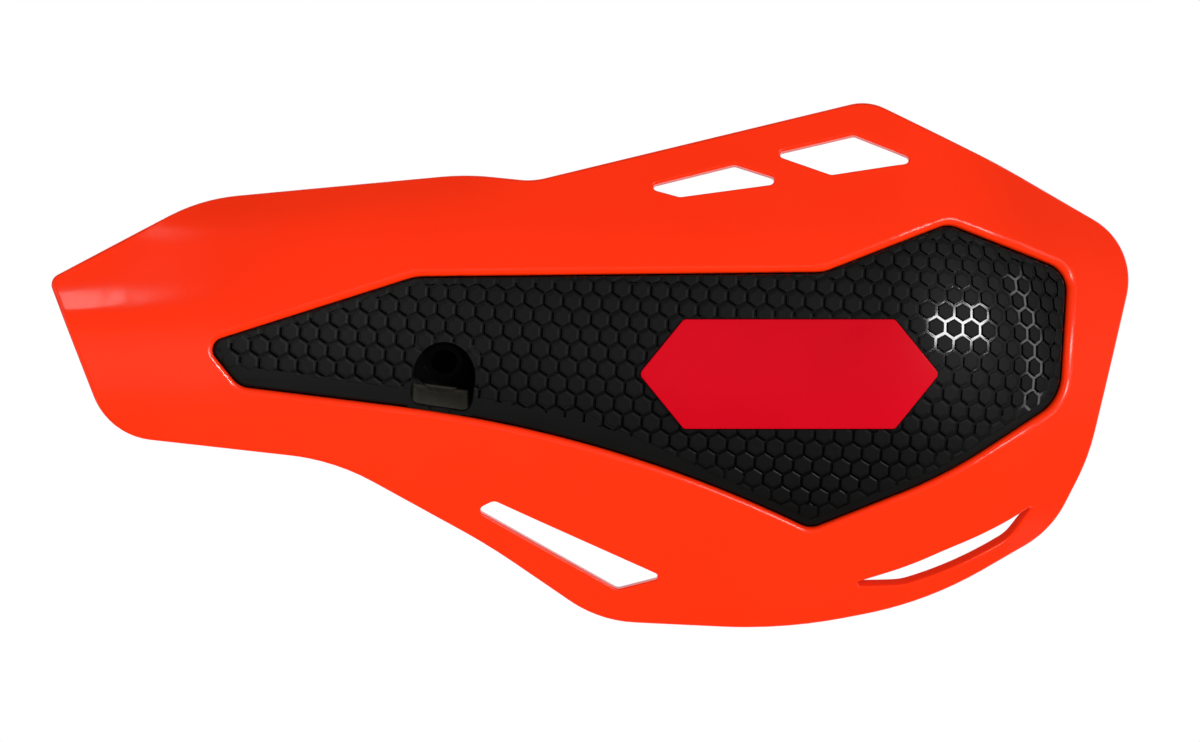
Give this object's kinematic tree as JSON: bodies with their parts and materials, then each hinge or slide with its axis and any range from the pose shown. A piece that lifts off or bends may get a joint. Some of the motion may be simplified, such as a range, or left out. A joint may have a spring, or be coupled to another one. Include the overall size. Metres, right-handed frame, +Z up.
{
  "type": "motorcycle hand guard",
  "caption": "Moulded hand guard shield for a handlebar, with vent windows, a wrapped outer end and a black honeycomb panel that carries the bolt pocket.",
  "frame": {"origin": "middle of the bolt's seat in the pocket, on the axis of the bracket bolt", "axes": "+X along the guard towards its outer end, +Z up, -Y out of the front face; the picture is taken along +Y"},
  "size_m": [0.2663, 0.0525, 0.1296],
  "materials": {
    "shield": "satin orange polypropylene",
    "panel": "black nylon, matte cells between glossy grooves",
    "plate": "plain red plate, satin",
    "bush": "black zinc",
    "screws": "dark zinc"
  },
  "bodies": {
    "root": {"shield_shell": "shield", "honeycomb_panel": "panel", "badge_plate": "plate", "mount_bush": "bush", "panel_screws": "screws"}
  },
  "joints": []
}
